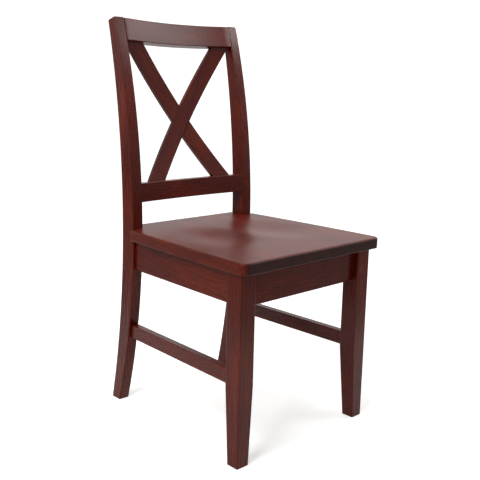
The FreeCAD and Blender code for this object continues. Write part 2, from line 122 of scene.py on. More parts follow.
def slice_across(
    bm: BMesh,
    places: Iterable[float],
    direction: Vector,
    chosen: Callable[[BMFace], bool] | None = None,
) -> None:
    """Divide a piece with parallel planes, so that it can be bent or hollowed.

    Args:
        bm: The piece.
        places: Distances of the planes along the direction.
        direction: Unit vector square to the planes.
        chosen: Test that picks the faces to divide, or None for all of them.
    """
    for place in places:
        faces = [face for face in bm.faces if chosen is None or chosen(face)]
        edges = {edge for face in faces for edge in face.edges}
        verts = {vert for face in faces for vert in face.verts}
        bmesh.ops.bisect_plane(
            bm,
            geom=[*verts, *edges, *faces],
            dist=CUT_REACH,
            plane_co=direction * place,
            plane_no=direction,
        )


def even_steps(low: float, high: float, count: int) -> list[float]:
    """Return the places that divide a length into equal parts, without its ends."""
    return [low + (high - low) * i / count for i in range(1, count)]


def trim_beyond(bm: BMesh, point: Vector, outward: Vector) -> None:
    """Cut a piece off at a plane and close the cut.

    Args:
        bm: The piece.
        point: A point of the plane.
        outward: The side of the plane that is taken off.
    """
    cut = bmesh.ops.bisect_plane(
        bm,
        geom=[*bm.verts, *bm.edges, *bm.faces],
        dist=CUT_REACH,
        plane_co=point,
        plane_no=outward,
        clear_outer=True,
    )
    bmesh.ops.edgeloop_fill(bm, edges=only(BMEdge, cut["geom_cut"]))


def arrises(bm: BMesh, chosen: Callable[[Vector, Vector], bool] | None = None) -> list[BMEdge]:
    """Find the sharp edges of a piece.

    Args:
        bm: The piece.
        chosen: Test on an edge's two ends, or None for every sharp edge.

    Returns:
        The edges where two faces meet at a sharp angle.
    """
    sharp = [edge for edge in bm.edges if edge.calc_face_angle(0.0) > SHARP_ANGLE]
    return [e for e in sharp if chosen is None or chosen(e.verts[0].co, e.verts[1].co)]


def at_foot(a: Vector, b: Vector) -> bool:
    """Tell whether an edge lies on the floor."""
    return max(a.z, b.z) < TOUCH


def above_foot(a: Vector, b: Vector) -> bool:
    """Tell whether an edge rises from the floor or lies above it."""
    return max(a.z, b.z) > TOUCH


def runs_along(a: Vector, b: Vector) -> bool:
    """Tell whether an edge runs along the X axis."""
    return abs(a.x - b.x) > SHORT


def only(kind: type, parts: Iterable[Any]) -> list[Any]:
    """Pick the parts of one kind out of an operator's result."""
    return [part for part in parts if isinstance(part, kind)]


def round_over(bm: BMesh, edges: list[BMEdge], radius: float, steps: int) -> None:
    """Round edges over with a router.

    Args:
        bm: The piece.
        edges: The edges to round.
        radius: Radius of the round.
        steps: Number of facets across the round.
    """
    bmesh.ops.bevel(
        bm,
        geom=edges,
        offset=radius,
        offset_type="OFFSET",
        segments=steps,
        profile=0.5,
        affect="EDGES",
        clamp_overlap=True,
        material=-1,
    )


def mirror_to_right(bm: BMesh) -> None:
    """Turn a left piece into its right-hand twin."""
    bmesh.ops.scale(bm, vec=Vector((-1.0, 1.0, 1.0)), verts=bm.verts)
    bmesh.ops.reverse_faces(bm, faces=bm.faces)


def fit_to_chair(bm: BMesh, name: str, node: str, finish: Material) -> None:
    """Turn a finished piece into an object of the chair in place of its solid.

    Args:
        bm: The piece in millimetres, which is used up.
        name: Name of the new object.
        node: Name of the solid that it stands for.
        finish: Its material.
    """
    bmesh.ops.remove_doubles(bm, verts=bm.verts, dist=WELD_REACH)
    bmesh.ops.recalc_face_normals(bm, faces=bm.faces)
    bmesh.ops.translate(bm, vec=Vector((0.0, POST_LINE_Y, 0.0)), verts=bm.verts)
    bmesh.ops.scale(bm, vec=Vector((METRES_PER_MM,) * 3), verts=bm.verts)
    for face in bm.faces:
        face.smooth = True
    for edge in arrises(bm):
        edge.smooth = False
    mesh = bpy.data.meshes.new(name)
    bm.to_mesh(mesh)
    bm.free()
    mesh.materials.append(finish)
    piece = bpy.data.objects.new(name, mesh)
    bpy.context.scene.collection.objects.link(piece)
    # Large faces stay flat and only the rounded edges turn the light
    flat = piece.modifiers.new("flat_faces", "WEIGHTED_NORMAL")
    flat.mode = "FACE_AREA"
    flat.weight = 100
    flat.keep_sharp = True
    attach(piece, "root")
    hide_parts(node)
    LOG.info("%s stands for %s: %d faces", name, node, len(mesh.polygons))


# Finishes


def linear(code: str) -> tuple[float, float, float, float]:
    """Turn an sRGB hex colour such as "#4a1c10" into linear red, green, blue and alpha."""
    shares = [int(code[i : i + 2], 16) / 255 for i in (1, 3, 5)]
    r, g, b = (s / 12.92 if s <= 0.04045 else ((s + 0.055) / 1.055) ** 2.4 for s in shares)
    return r, g, b, 1.0


def add_node(
    tree: NodeTree, kind: str, inputs: dict[str | int, Any] | None = None, **settings: Any
) -> Node:
    """Add a shader node with its links and settings.

    Args:
        tree: The node tree.
        kind: Blender's name of the node's type.
        inputs: For each named or numbered input a value, an output, or a node whose first
            output it takes.
        settings: The node's own settings.

    Returns:
        The new node.
    """
    node = tree.nodes.new(kind)
    for name, value in settings.items():
        setattr(node, name, value)
    for key, value in (inputs or {}).items():
        source = value.outputs[0] if isinstance(value, Node) else value
        if isinstance(source, NodeSocket):
            tree.links.new(source, node.inputs[key])
        else:
            node.inputs[key].default_value = source
    return node


def blank_material(name: str) -> tuple[Material, Adder]:
    """Make a material with an empty node tree, and the function that adds nodes to it."""
    material = bpy.data.materials.new(name)
    material.use_nodes = True
    material.node_tree.nodes.clear()
    return material, partial(add_node, material.node_tree)


def along_grain(add: Adder, place: Node, turn: tuple[float, ...]) -> Node:
    """Turn an object's own coordinates to its grain.

    Args:
        add: Adds a node to the material.
        place: The texture coordinate node.
        turn: The turn that lays the grain along X, in radians.

    Returns:
        The place in millimetres with X along the grain.
    """
    scale = (1.0 / METRES_PER_MM,) * 3
    own = place.outputs["Object"]
    return add("ShaderNodeMapping", {"Vector": own, "Rotation": turn, "Scale": scale})


def set_stops(ramp: Node, stops: dict[float, str]) -> None:
    """Set a colour ramp's stops.

    Args:
        ramp: The colour ramp node.
        stops: The sRGB colour at each place, in rising order.
    """
    elements = ramp.color_ramp.elements
    while len(elements) < len(stops):
        elements.new(1.0)
    for element, (place, colour) in zip(elements, stops.items()):
        element.position = place
        element.color = linear(colour)


@dataclass(frozen=True)
class StainedHardwood:
    """Rubberwood sawn into boards, planed, stained and sprayed with semi-gloss lacquer.

    The stain sinks into the open fibres, so that the eye sees fine dark streaks along the grain,
    faint growth rings between them, and end grain darker than the faces. The lacquer fills the
    pores nearly level, and its smooth top coat gives a soft sheen at low angles.
    """

    name: str
    turn: tuple[float, float, float]
    seed: float
    dark: str = "#340903"
    middle: str = "#501104"
    light: str = "#732408"
    board_width: float = 0.0
    # Turn of the growth rings off the board's length, in degrees
    tilt: float = 1.2
    # Roughness of the smoothest streaks
    smoothest: float = 0.22

    def build(self) -> Material:
        """Build the material.

        Returns:
            The material, with its pattern in millimetres along the grain.
        """
        material, add = blank_material(self.name)
        place = add("ShaderNodeTexCoord")
        turn = tuple(math.radians(angle) for angle in self.turn)
        board = self.board_place(add, along_grain(add, place, turn))

        # Growth rings 7 mm apart round a pith that lies outside the board, stretched lengthwise
        rings_place = add(
            "ShaderNodeMapping",
            {
                "Vector": board,
                "Location": (40.0 * self.seed, 61.0 + 9.0 * math.sin(self.seed), 47.0),
                "Rotation": (0.0, math.radians(self.tilt), math.radians(self.tilt)),
                "Scale": (0.12, 1.0, 1.0),
            },
        )
        rings = add(
            "ShaderNodeTexWave",
            {
                "Vector": rings_place,
                "Scale": WAVE_PERIOD / 7.0,
                "Distortion": 5.0,
                "Detail": 3.0,
                "Detail Scale": 0.6,
                "Detail Roughness": 0.55,
            },
            wave_type="RINGS",
            rings_direction="X",
            wave_profile="SAW",
        )
        # Fibre bundles are 0.2 mm wide: drawn 3 mm wide so that they show from a few steps away
        streaks = self.fibres(add, board, length=150.0, width=3.0, detail=4.0)
        # A finer set, 0.8 mm wide, for close views
        fine = self.fibres(add, board, length=45.0, width=0.8, detail=3.0)
        # Pores are 0.2 mm wide and 2 mm long: drawn 0.7 mm wide and 9 mm long
        pores = self.fibres(add, board, length=9.0, width=0.7, detail=1.0)
        depth = add("ShaderNodeMapRange", {"Value": pores, "From Min": 0.6, "From Max": 0.72})
        # The stain takes unevenly over patches about 90 mm long
        patches = self.fibres(add, board, length=180.0, width=60.0, detail=2.0)

        parts = [(rings.outputs["Fac"], 0.14), (streaks, 0.55), (fine, 0.3), (patches, 0.6)]
        colour = add("ShaderNodeValToRGB", {"Fac": self.weighted_sum(add, parts)})
        set_stops(colour, {0.2: self.dark, 0.5: self.middle, 0.85: self.light})
        filled = add("ShaderNodeMath", {0: depth, 1: 0.45}, operation="MULTIPLY")
        ends = self.end_grain(add, place, turn)
        darkening = add("ShaderNodeMath", {0: filled, 1: ends}, operation="MAXIMUM")
        darkest = linear("#1b0805")
        stained = add(
            "ShaderNodeMix", {"Factor": darkening, 6: colour, 7: darkest}, data_type="RGBA"
        )
        roughness = add(
            "ShaderNodeMapRange",
            {
                "Value": fine,
                "From Min": 0.3,
                "From Max": 0.7,
                "To Min": self.smoothest,
                "To Max": self.smoothest + 0.1,
            },
        )
        relief = self.weighted_sum(add, [(depth, -0.7), (fine, 0.3)])
        bump = add(
            "ShaderNodeBump",
            {"Height": relief, "Distance": 0.05 * METRES_PER_MM, "Strength": 0.35},
        )
        shader = add(
            "ShaderNodeBsdfPrincipled",
            {
                "Base Color": stained.outputs[2],
                "Roughness": roughness,
                "Normal": bump,
                "IOR": 1.36,
                # A weaker mirror image than plain lacquer gives, so that the stain stays deep
                "Specular IOR Level": 0.3,
            },
        )
        add("ShaderNodeOutputMaterial", {"Surface": shader})
        return material

    def board_place(self, add: Adder, place: Node) -> Node:
        """Shift the pattern for this piece, and for each board of a glued panel.

        Args:
            add: Adds a node to the material.
            place: Place in millimetres with X along the grain.

        Returns:
            The shifted place.
        """
        shift = (137.0 * self.seed, 61.0 * self.seed, 23.0 * self.seed)
        seeded = add("ShaderNodeVectorMath", {0: place, 1: shift}, operation="ADD")
        if not self.board_width:
            return seeded
        across = add("ShaderNodeSeparateXYZ", {"Vector": place}).outputs["Y"]
        count = add("ShaderNodeMath", {0: across, 1: self.board_width}, operation="DIVIDE")
        number = add("ShaderNodeMath", {0: count}, operation="FLOOR")
        draw = add("ShaderNodeTexWhiteNoise", {"W": number}, noise_dimensions="1D")
        spread = add(
            "ShaderNodeVectorMath",
            {0: draw.outputs["Color"], 1: (900.0, 400.0, 60.0)},
            operation="MULTIPLY",
        )
        return add("ShaderNodeVectorMath", {0: seeded, 1: spread}, operation="ADD")

    def fibres(
        self, add: Adder, place: Node, length: float, width: float, detail: float
    ) -> Node:
        """Draw noise that is stretched along the grain.

        Args:
            add: Adds a node to the material.
            place: Place in millimetres with X along the grain.
            length: Length of a streak.
            width: Width of a streak.
            detail: Octaves of finer noise.

        Returns:
            The noise, from 0 to 1.
        """
        stretched = add(
            "ShaderNodeVectorMath",
            {0: place, 1: (1.0 / length, 1.0 / width, 1.0 / width)},
            operation="MULTIPLY",
        )
        return add(
            "ShaderNodeTexNoise",
            {"Vector": stretched, "Scale": 1.0, "Detail": detail, "Roughness": 0.6},
        )

    def weighted_sum(
        self, add: Adder, parts: list[tuple[Node | NodeSocket, float]]
    ) -> Node | float:
        """Add patterns round a middle of 0.5, each by its weight.

        Args:
            add: Adds a node to the material.
            parts: Each pattern with its weight.

        Returns:
            The sum.
        """
        total: Node | float = 0.5 - sum(weight for _, weight in parts) / 2
        for pattern, weight in parts:
            term = {0: pattern, 1: weight, 2: total}
            total = add("ShaderNodeMath", term, operation="MULTIPLY_ADD")
        return total

    def end_grain(self, add: Adder, place: Node, turn: tuple[float, ...]) -> Node:
        """Find how far a face looks along the grain, where the stain sinks in deeper.

        Args:
            add: Adds a node to the material.
            place: The texture coordinate node.
            turn: The turn that lays the grain along X, in radians.

        Returns:
            The share of the end grain's darker colour.
        """
        facing = add(
            "ShaderNodeMapping",
            {"Vector": place.outputs["Normal"], "Rotation": turn},
            vector_type="VECTOR",
        )
        lengthwise = add("ShaderNodeSeparateXYZ", {"Vector": facing}).outputs["X"]
        along = add("ShaderNodeMath", {0: lengthwise}, operation="ABSOLUTE")
        return add(
            "ShaderNodeMapRange",
            {"Value": along, "From Min": 0.6, "From Max": 0.95, "To Max": 0.85},
        )


@dataclass(frozen=True)
class SawnHardwood:
    """Offcuts of the same hardwood, sawn and left bare.

    A circular saw leaves shallow ridges across the grain, so that the eye sees a pale, matt face
    with a faint ribbing.
    """

    name: str
    turn: tuple[float, float, float]
    pale: str = "#c7a272"
    deep: str = "#a67c4c"

    def build(self) -> Material:
        """Build the material.

        Returns:
            The material, with its pattern in millimetres along the grain.
        """
        material, add = blank_material(self.name)
        turn = tuple(math.radians(angle) for angle in self.turn)
        along = along_grain(add, add("ShaderNodeTexCoord"), turn)
        stretched = add(
            "ShaderNodeVectorMath",
            {0: along, 1: (1 / 60.0, 1 / 1.5, 1 / 1.5)},
            operation="MULTIPLY",
        )
        grain = add("ShaderNodeTexNoise", {"Vector": stretched, "Scale": 1.0, "Detail": 4.0})
        colour = add("ShaderNodeValToRGB", {"Fac": grain})
        set_stops(colour, {0.3: self.deep, 0.7: self.pale})
        # Saw ridges 2 mm apart
        ridges = add(
            "ShaderNodeTexWave",
            {"Vector": along, "Scale": WAVE_PERIOD / 2.0, "Distortion": 1.5},
            wave_type="BANDS",
            bands_direction="X",
        ).outputs["Fac"]
        bump = add(
            "ShaderNodeBump",
            {"Height": ridges, "Distance": 0.15 * METRES_PER_MM, "Strength": 0.7},
        )
        roughness = add("ShaderNodeMapRange", {"Value": grain, "To Min": 0.68, "To Max": 0.82})
        shader = add(
            "ShaderNodeBsdfPrincipled",
            {"Base Color": colour, "Roughness": roughness, "Normal": bump, "IOR": 1.5},
        )
        add("ShaderNodeOutputMaterial", {"Surface": shader})
        return material


@dataclass(frozen=True)
class ZincPlatedSteel:
    """Wood screws, cold headed and zinc plated.

    The thin plating is bright with a faint cool cast, and tumbling in the bath leaves it slightly
    cloudy.
    """

    name: str
    bright: str = "#c3c6c8"
    dull: str = "#9a9da0"

    def build(self) -> Material:
        """Build the material and return it."""
        material, add = blank_material(self.name)
        own = add("ShaderNodeTexCoord").outputs["Object"]
        # Cloudy patches about 1.5 mm across
        scale = 1.0 / (1.5 * METRES_PER_MM)
        clouds = add("ShaderNodeTexNoise", {"Vector": own, "Scale": scale, "Detail": 3.0})
        colour = add("ShaderNodeValToRGB", {"Fac": clouds})
        set_stops(colour, {0.3: self.dull, 0.7: self.bright})
        roughness = add("ShaderNodeMapRange", {"Value": clouds, "To Min": 0.26, "To Max": 0.44})
        shader = add(
            "ShaderNodeBsdfPrincipled",
            {"Base Color": colour, "Metallic": 1.0, "Roughness": roughness},
        )
        add("ShaderNodeOutputMaterial", {"Surface": shader})
        return material


# The back


@dataclass
class BackPosts:
    """The two posts, each sawn to two arcs so that it leans back above the seat."""

    back_height: float = 960.0
    half_spread: float = 196.5
    width: float = 29.0
    depth: float = 45.0
    front_radius: float = 1680.0
    back_radius: float = 2150.0
    front_bend_height: float = 457.0
    back_bend_height: float = 466.0
    crest_height: float = 55.0
    crest_below_tops: float = 2.0
    top_sink: float = 0.5
    top_rounding: float = 5.0
    front_rounding: float = 3.0
    edge_rounding: float = 2.0
    foot_rounding: float = 1.5
    last_slice_height: float = 925.0
    slices: int = 46
    # The most that an end of a straight part stands off the bent front face
    facet_error: float = 0.3

    def front_y(self, height: float) -> float:
        """Return Y of the front face at a height."""
        rise = height - self.front_bend_height
        return self.front_radius - math.sqrt(self.front_radius**2 - rise**2)

    def back_y(self, height: float) -> float:
        """Return Y of the back face at a height."""
        rise = height - self.back_bend_height
        return self.depth + self.back_radius - math.sqrt(self.back_radius**2 - rise**2)

    def lean(self, height: float) -> float:
        """Return the lean of the front face from the vertical at a height, in radians."""
        return math.asin((height - self.front_bend_height) / self.front_radius)

    def crest_frame(self) -> Matrix:
        """Return the frame of the crest rail, Z up its leaning face and Y square to it."""
        crest_top = self.back_height - self.crest_below_tops
        lean = self.lean(crest_top - self.crest_height / 2)
        middle = crest_top - self.crest_height / 2 * math.cos(lean)
        place = Vector((0.0, self.front_y(middle), middle))
        return Matrix.Translation(place) @ Matrix.Rotation(-lean, 4, "X")

    def shape(self) -> BMesh:
        """Saw, bend and ease the left post.

        Returns:
            The post in millimetres.
        """
        spare = self.back_height + self.crest_height
        low = Vector((-self.half_spread, 0.0, 0.0))
        high = Vector((self.width - self.half_spread, self.depth, spare))
        bm = sawn_block(low, high)
        slice_across(bm, even_steps(0.0, self.last_slice_height, self.slices), UP)
        slice_across(bm, [self.last_slice_height], UP)
        for vert in bm.verts:
            share = vert.co.y / self.depth
            front, back = self.front_y(vert.co.z), self.back_y(vert.co.z)
            vert.co.y = front + (back - front) * share
        crest = self.crest_frame()
        top = crest @ (UP * (self.crest_height / 2 + self.crest_below_tops - self.top_sink))
        leaning_up = crest.to_3x3() @ UP
        trim_beyond(bm, top, leaning_up)

        def at_front(a: Vector, b: Vector) -> bool:
            """Tell whether an edge lies in the front face, above the foot."""
            off = max(abs(end.y - self.front_y(end.z)) for end in (a, b))
            return off < self.facet_error and above_foot(a, b)

        def on_top(a: Vector, b: Vector) -> bool:
            """Tell whether an edge lies in the sloping top."""
            return all(abs((end - top).dot(leaning_up)) < TOUCH for end in (a, b))

        def at_outer_or_front_top(a: Vector, b: Vector) -> bool:
            """Tell whether an edge is the top's outer or front one."""
            return on_top(a, b) and (max(a.x, b.x) < TOUCH - self.half_spread or at_front(a, b))

        runs_up = [e for e in arrises(bm, at_front) if not on_top(e.verts[0].co, e.verts[1].co)]
        round_over(bm, runs_up, self.front_rounding, 4)
        round_over(bm, arrises(bm, at_outer_or_front_top), self.top_rounding, 6)
        round_over(bm, arrises(bm, above_foot), self.edge_rounding, 3)
        round_over(bm, arrises(bm, at_foot), self.foot_rounding, 2)
        return bm

    def build(self, side: Side, seed: float) -> None:
        """Build one post and dress it.

        Args:
            side: The side that it stands on.
            seed: Place of its board in the pattern.
        """
        bm = self.shape()
        if side is Side.RIGHT:
            mirror_to_right(bm)
        wood = StainedHardwood(f"stained_hardwood_post_{side.value}", Grain.UPRIGHT.value, seed)
        fit_to_chair(bm, f"post_{side.value}", f"back_post_{side.value}", wood.build())


@dataclass
class BackRail:
    """A rail between the posts, bowed backwards between short flat ends."""

    name: str
    node: str
    frame: Matrix
    height: float
    thickness: float
    bow: float
    setback: float
    top_rounding: float
    seed: float
    half_length: float = 167.5
    flat_end: float = 10.0
    edge_rounding: float = 1.5
    end_rounding: float = 0.4
    slices: int = 28

    def bow_at(self, x: float) -> float:
        """Return how far the rail stands back at a place along it."""
        half = self.half_length - self.flat_end
        if abs(x) >= half:
            return 0.0
        radius = (half**2 + self.bow**2) / (2 * self.bow)
        return math.sqrt(radius**2 - x**2) - (radius - self.bow)

    def build(self) -> None:
        """Saw, bow and ease the rail, and dress it."""
        low = Vector((-self.half_length, self.setback, -self.height / 2))
        high = Vector((self.half_length, self.setback + self.thickness, self.height / 2))
        bm = sawn_block(low, high)
        curve_half = self.half_length - self.flat_end
        places = [-curve_half, *even_steps(-curve_half, curve_half, self.slices), curve_half]
        slice_across(bm, places, TO_RIGHT)
        for vert in bm.verts:
            vert.co.y += self.bow_at(vert.co.x)
        half = self.height / 2
        top = arrises(bm, lambda a, b: min(a.z, b.z) > half - TOUCH and runs_along(a, b))
        round_over(bm, top, self.top_rounding, 5)
        bottom = arrises(bm, lambda a, b: max(a.z, b.z) < TOUCH - half and runs_along(a, b))
        round_over(bm, bottom, self.edge_rounding, 3)
        # The shoulders are eased a little, so that the joint shows as a fine dark line
        round_over(bm, arrises(bm), self.end_rounding, 2)
        bmesh.ops.transform(bm, matrix=self.frame, verts=bm.verts)
        wood = StainedHardwood(f"stained_hardwood_{self.name}", Grain.ACROSS_CHAIR.value, self.seed)
        fit_to_chair(bm, self.name, self.node, wood.build())


@dataclass
class CrossSlats:
    """The two curved slats that cross between the back rails, half-lapped where they meet."""

    posts: BackPosts
    width: float = 44.0
    thickness: float = 11.0
    bow: float = 18.0
    foot_height: float = 567.0
    foot_half_spacing: float = 105.0
    head_half_spacing: float = 140.0
    foot_setback: float = 20.5
    head_setback: float = 13.5
    edge_rounding: float = 1.5
    lap_gap: float = 0.15
    shoulder_sink: float = 0.6
    lower_rail_height: float = 46.0
    slices: int = 40
    head: Vector = field(init=False)
    foot: Vector = field(init=False)
    length: float = field(init=False)
    frame: Matrix = field(init=False)

    def __post_init__(self) -> None:
        """Work out the rising slat's frame from the places where its face meets the rails."""
        crest = self.posts.crest_frame()
        head_height = (crest @ (UP * (-self.posts.crest_height / 2))).z
        foot_y = self.posts.front_y(self.foot_height) + self.foot_setback
        head_y = self.posts.front_y(head_height) + self.head_setback
        self.foot = Vector((-self.foot_half_spacing, foot_y, self.foot_height))
        self.head = Vector((self.head_half_spacing, head_y, head_height))
        self.length = (self.head - self.foot).length
        along = (self.head - self.foot).normalized()
        backwards = Vector((0.0, self.head.z - self.foot.z, self.foot.y - self.head.y)).normalized()
        across = backwards.cross(along)
        turn = Matrix((along, across, backwards)).transposed()
        self.frame = Matrix.Translation(self.foot) @ turn.to_4x4()

    def lower_rail_frame(self) -> Matrix:
        """Return the frame of the lower rail, Z up its leaning face and Y square to it."""
        middle = self.foot_height - self.lower_rail_height / 2
        place = Vector((0.0, self.posts.front_y(middle), middle))
        return Matrix.Translation(place) @ Matrix.Rotation(-self.posts.lean(middle), 4, "X")

    def bow_at(self, place: float) -> float:
        """Return how far the slat's face stands behind its chord."""
        half = self.length / 2
        radius = (half**2 + self.bow**2) / (2 * self.bow)
        return math.sqrt(radius**2 - (place - half) ** 2) - (radius - self.bow)

    def board(self) -> BMesh:
        """Bend the rising slat's board, longer than needed at both ends.

        Returns:
            The board in the slat's own frame.
        """
        spare = self.posts.crest_height / 2
        low = Vector((-spare, -self.width / 2, 0.0))
        high = Vector((self.length + spare, self.width / 2, self.thickness))
        bm = sawn_block(low, high)
        slice_across(bm, even_steps(low.x, high.x, self.slices), TO_RIGHT)
        for vert in bm.verts:
            vert.co.z += self.bow_at(vert.co.x)
        round_over(bm, arrises(bm, runs_along), self.edge_rounding, 3)
        return bm

    def cut_to_rails(self, bm: BMesh) -> None:
        """Cut the slat's ends to the faces of the two back rails, just inside them."""
        crest = self.posts.crest_frame()
        under_crest = crest @ (UP * (self.shoulder_sink - self.posts.crest_height / 2))
        trim_beyond(bm, under_crest, crest.to_3x3() @ UP)
        lower = self.lower_rail_frame()
        on_rail = lower @ (UP * (self.lower_rail_height / 2 - self.shoulder_sink))
        trim_beyond(bm, on_rail, lower.to_3x3() @ -UP)

    def lap_cutter(self, forwards: bool) -> BMesh:
        """Make the block that takes the half lap out of the other slat.

        Args:
            forwards: Whether it clears the front half of the other slat.

        Returns:
            The block in the rising slat's own frame.
        """
        share = self.foot_half_spacing / (self.foot_half_spacing + self.head_half_spacing)
        crossing = self.length * share
        middle = self.bow_at(crossing) + self.thickness / 2
        depth = self.thickness + self.bow
        low_z, high_z = (middle - depth, middle) if forwards else (middle, middle + depth)
        half = self.width / 2 + self.lap_gap
        reach = 2 * self.width
        low = Vector((crossing - reach, -half, low_z))
        return sawn_block(low, Vector((crossing + reach, half, high_z)))

    def build(self, run: Run, seed: float) -> None:
        """Build one slat and dress it.

        Args:
            run: The way it runs.
            seed: Place of its board in the pattern.
        """
        falling = run is Run.FALLING
        bm = self.board()
        bmesh.ops.transform(bm, matrix=self.frame, verts=bm.verts)
        self.cut_to_rails(bm)
        cutter = self.lap_cutter(falling)
        bmesh.ops.transform(cutter, matrix=self.frame, verts=cutter.verts)
        mirror_to_right(cutter)
        bm = half_lapped(bm, cutter)
        if falling:
            mirror_to_right(bm)
        slope = math.degrees(math.atan2(self.head.z - self.foot.z, self.head.x - self.foot.x))
        angle = 180.0 - slope if falling else slope
        wood = StainedHardwood(f"stained_hardwood_slat_{run.value}", (0.0, angle, 0.0), seed)
        fit_to_chair(bm, f"slat_{run.value}", f"cross_slat_{run.value}", wood.build())


def half_lapped(bm: BMesh, cutter: BMesh) -> BMesh:
    """Take a block out of a piece where another one crosses it.

    Args:
        bm: The piece, which is used up.
        cutter: The block, which is used up.

    Returns:
        The piece with its lap.
    """
    objects = []
    for name, part in (("lapped", bm), ("lap_block", cutter)):
        mesh = bpy.data.meshes.new(name)
        bmesh.ops.recalc_face_normals(part, faces=part.faces)
        part.to_mesh(mesh)
        part.free()
        piece = bpy.data.objects.new(name, mesh)
        bpy.context.scene.collection.objects.link(piece)
        objects.append(piece)
    lapped, block = objects
    cut = lapped.modifiers.new("lap", "BOOLEAN")
    cut.operation = "DIFFERENCE"
    cut.solver = "EXACT"
    cut.object = block
    bpy.context.view_layer.update()
    result = bmesh.new()
    result.from_object(lapped, bpy.context.evaluated_depsgraph_get())
    for piece in objects:
        mesh = piece.data
        bpy.data.objects.remove(piece)
        bpy.data.meshes.remove(mesh)
    return result


# Front legs


@dataclass
class FrontLegs:
    """The two front legs, tapered on their inner faces below the stretchers."""

    half_spread: float = 211.5
    front_y: float = -399.0
    width: float = 42.0
    depth: float = 44.0
    foot_width: float = 33.0
    foot_depth: float = 33.0
    top_height: float = 431.0
    taper_height: float = 177.0
    edge_rounding: float = 2.5
    foot_rounding: float = 1.5

    def build(self, side: Side, seed: float) -> None:
        """Build one leg and dress it.

        Args:
            side: The side that it stands on.
            seed: Place of its board in the pattern.
        """
        low = Vector((-self.half_spread, self.front_y, 0.0))
        high = Vector((self.width - self.half_spread, self.front_y + self.depth, self.top_height))
        bm = sawn_block(low, high)
        slice_across(bm, [self.taper_height], UP)
        for vert in bm.verts:
            if vert.co.z < TOUCH:
                vert.co.x = min(vert.co.x, low.x + self.foot_width)
                vert.co.y = min(vert.co.y, low.y + self.foot_depth)
        round_over(bm, arrises(bm, above_foot), self.edge_rounding, 4)
        round_over(bm, arrises(bm, at_foot), self.foot_rounding, 2)
        if side is Side.RIGHT:
            mirror_to_right(bm)
        wood = StainedHardwood(f"stained_hardwood_leg_{side.value}", Grain.UPRIGHT.value, seed)
        fit_to_chair(bm, f"leg_{side.value}", f"front_leg_{side.value}", wood.build())


# Seat


